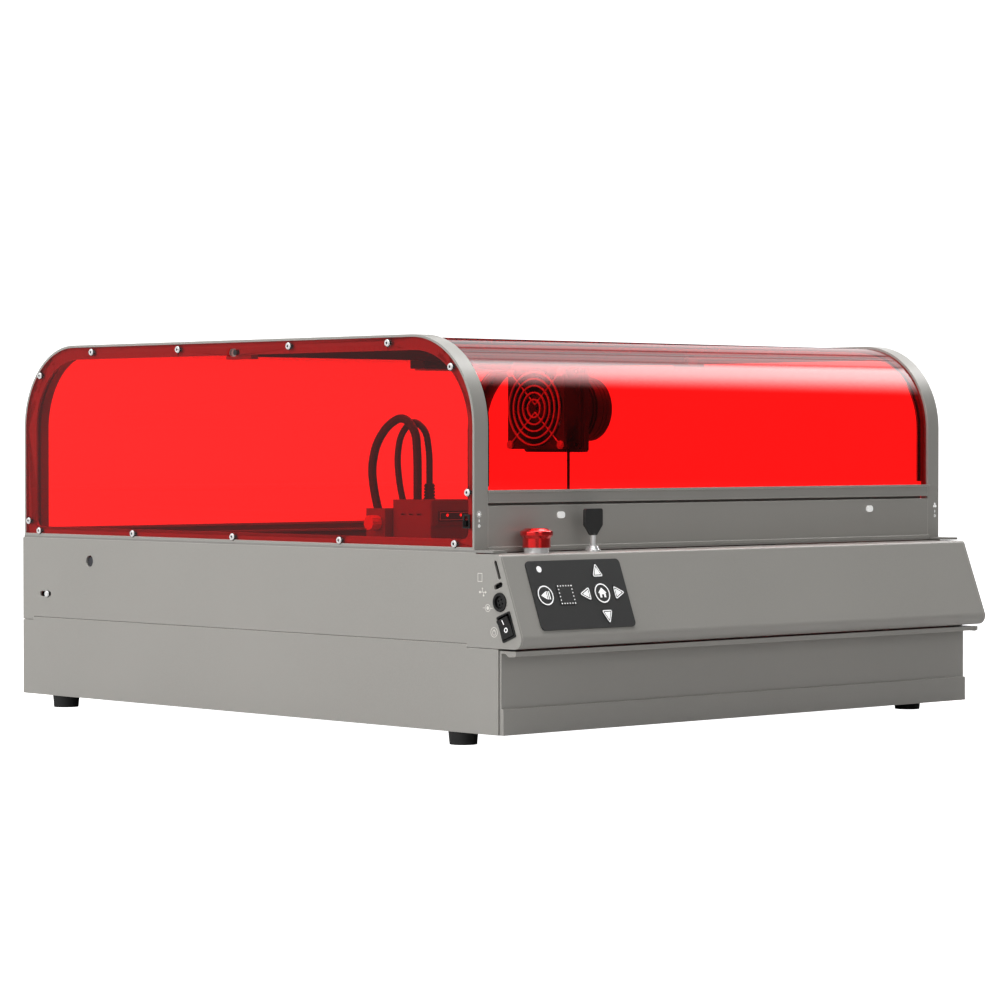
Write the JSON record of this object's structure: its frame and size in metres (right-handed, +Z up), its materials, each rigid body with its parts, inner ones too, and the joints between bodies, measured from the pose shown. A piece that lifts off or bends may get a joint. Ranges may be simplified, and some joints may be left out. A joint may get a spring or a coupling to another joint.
{
  "type": "desktop laser cutter",
  "caption": "Enclosed desktop laser cutter: grey sheet-metal case, red transparent hinged lid and side windows, slatted drawer, sloping console, gantry laser head and side exhaust duct.",
  "frame": {"origin": "centre of the overall box at floor level, under the feet", "axes": "+Z up, -Y towards the user at the console, +X towards the exhaust duct"},
  "size_m": [0.6034, 0.6597, 0.324],
  "materials": {
    "grey_case": "fine matt grey powder coat",
    "red_acrylic": "clear red laser-safe acrylic",
    "black_plastic": "black moulded plastic",
    "rubber_black": "black rubber",
    "bright_screws": "bright plated steel",
    "black_steel": "black painted steel",
    "dark_aluminium": "black anodised aluminium",
    "steel_plain": "plain steel",
    "lens_white": "white diffuser",
    "estop_red": "metallic red",
    "keypad_dark": "dark satin overlay",
    "key_light": "white printed keys"
  },
  "bodies": {
    "case": {"lower_shell": "grey_case", "feet": "rubber_black", "slide_rails": "steel_plain", "console_shell": "grey_case", "upper_left_panel": "grey_case", "upper_right_panel": "grey_case", "rear_panel": "grey_case", "deck_frame": "grey_case", "front_panel": "grey_case", "snap_rivets": "bright_screws", "left_arch": "grey_case", "right_arch": "grey_case", "left_window": "red_acrylic", "right_window": "red_acrylic", "window_screws": "bright_screws", "arch_seals": "rubber_black", "rear_cover": "red_acrylic", "cross_beam": "grey_case", "lamp_housing": "black_plastic", "lamp_lens": "lens_white", "fan_frame": "black_plastic", "fan_guard": "steel_plain", "duct_collar": "black_plastic", "fan_cable": "rubber_black", "y_rails": "dark_aluminium", "y_motor": "dark_aluminium", "estop_collar": "bright_screws", "key_barrel": "bright_screws", "keypad_panel": "keypad_dark", "keypad_board": "black_plastic", "port_sockets": "black_plastic"},
    "lid": {"lid_cover": "red_acrylic", "lid_handle": "grey_case", "lid_hinge_bar": "grey_case"},
    "drawer": {"drawer_front": "grey_case", "drawer_tray": "steel_plain", "drawer_runners": "steel_plain", "slat_bed": "black_steel"},
    "gantry": {"x_beam": "dark_aluminium", "gantry_ends": "dark_aluminium", "x_motor": "dark_aluminium"},
    "carriage_body": {"carriage": "dark_aluminium"},
    "module": {"module_bracket": "dark_aluminium", "laser_module": "dark_aluminium", "module_label": "keypad_dark", "module_cables": "rubber_black"},
    "knob": {"focus_knob": "steel_plain"},
    "rotor": {"fan_rotor": "black_plastic"},
    "estop": {"estop_head": "estop_red"},
    "key_body": {"key": "black_plastic"},
    "rocker": {"power_rocker": "black_plastic"},
    "light_switch": {"light_slider": "black_plastic"},
    "fan_switch": {"fan_slider": "black_plastic"},
    "key_start_body": {"key_start": "key_light"},
    "key_frame_body": {"key_frame": "key_light"},
    "key_left_body": {"key_left": "key_light"},
    "key_home_body": {"key_home": "key_light"},
    "key_right_body": {"key_right": "key_light"},
    "key_up_body": {"key_up": "key_light"},
    "key_down_body": {"key_down": "key_light"}
  },
  "joints": [
    {"name": "lid_hinge", "type": "hinge", "parent": "case", "child": "lid", "pos_m": [-0.01825, 0.02286, 0.3135], "axis": [-1, 0, 0], "range_deg": [0, 75]},
    {"name": "drawer_slide", "type": "slide", "parent": "case", "child": "drawer", "axis": [0, -1, 0], "range_m": [0, 0.4]},
    {"name": "gantry_slide", "type": "slide", "parent": "case", "child": "gantry", "axis": [0, 1, 0], "range_m": [-0.085, 0.3]},
    {"name": "carriage_slide", "type": "slide", "parent": "gantry", "child": "carriage_body", "axis": [1, 0, 0], "range_m": [0, 0.4]},
    {"name": "focus_slide", "type": "slide", "parent": "carriage_body", "child": "module", "axis": [0, 0, 1], "range_m": [0, 0.02]},
    {"name": "knob_turn", "type": "hinge", "parent": "module", "child": "knob", "pos_m": [-0.25795, -0.11514, 0.172], "axis": [-1, 0, 0], "range_deg": [-180, 180]},
    {"name": "fan_spin", "type": "hinge", "parent": "case", "child": "rotor", "pos_m": [0.23775, 0.20836, 0.271], "axis": [1, 0, 0], "continuous": true},
    {"name": "estop_push", "type": "slide", "parent": "case", "child": "estop", "axis": [0, 0, -1], "range_m": [0, 0.0035], "stiffness_N_per_m": 600, "springref_m": -0.001},
    {"name": "key_turn", "type": "hinge", "parent": "case", "child": "key_body", "pos_m": [-0.18395, -0.29213, 0.16], "axis": [0, 0, 1], "range_deg": [0, 90]},
    {"name": "rocker_tilt", "type": "hinge", "parent": "case", "child": "rocker", "pos_m": [-0.29375, -0.31344, 0.0952], "axis": [0, -0.9332, 0.3593], "range_deg": [-14, 0]},
    {"name": "light_switch_slide", "type": "slide", "parent": "case", "child": "light_switch", "axis": [0, 0, 1], "range_m": [0, 0.003]},
    {"name": "fan_switch_slide", "type": "slide", "parent": "case", "child": "fan_switch", "axis": [0, 0, 1], "range_m": [0, 0.003]},
    {"name": "key_start_press", "type": "slide", "parent": "case", "child": "key_start_body", "axis": [0, 0.9332, -0.3593], "range_m": [0, 0.0006], "stiffness_N_per_m": 1000, "springref_m": -0.0005},
    {"name": "key_frame_press", "type": "slide", "parent": "case", "child": "key_frame_body", "axis": [0, 0.9332, -0.3593], "range_m": [0, 0.0006], "stiffness_N_per_m": 1000, "springref_m": -0.0005},
    {"name": "key_left_press", "type": "slide", "parent": "case", "child": "key_left_body", "axis": [0, 0.9332, -0.3593], "range_m": [0, 0.0006], "stiffness_N_per_m": 1000, "springref_m": -0.0005},
    {"name": "key_home_press", "type": "slide", "parent": "case", "child": "key_home_body", "axis": [0, 0.9332, -0.3593], "range_m": [0, 0.0006], "stiffness_N_per_m": 1000, "springref_m": -0.0005},
    {"name": "key_right_press", "type": "slide", "parent": "case", "child": "key_right_body", "axis": [0, 0.9332, -0.3593], "range_m": [0, 0.0006], "stiffness_N_per_m": 1000, "springref_m": -0.0005},
    {"name": "key_up_press", "type": "slide", "parent": "case", "child": "key_up_body", "axis": [0, 0.9332, -0.3593], "range_m": [0, 0.0006], "stiffness_N_per_m": 1000, "springref_m": -0.0005},
    {"name": "key_down_press", "type": "slide", "parent": "case", "child": "key_down_body", "axis": [0, 0.9332, -0.3593], "range_m": [0, 0.0006], "stiffness_N_per_m": 1000, "springref_m": -0.0005}
  ]
}
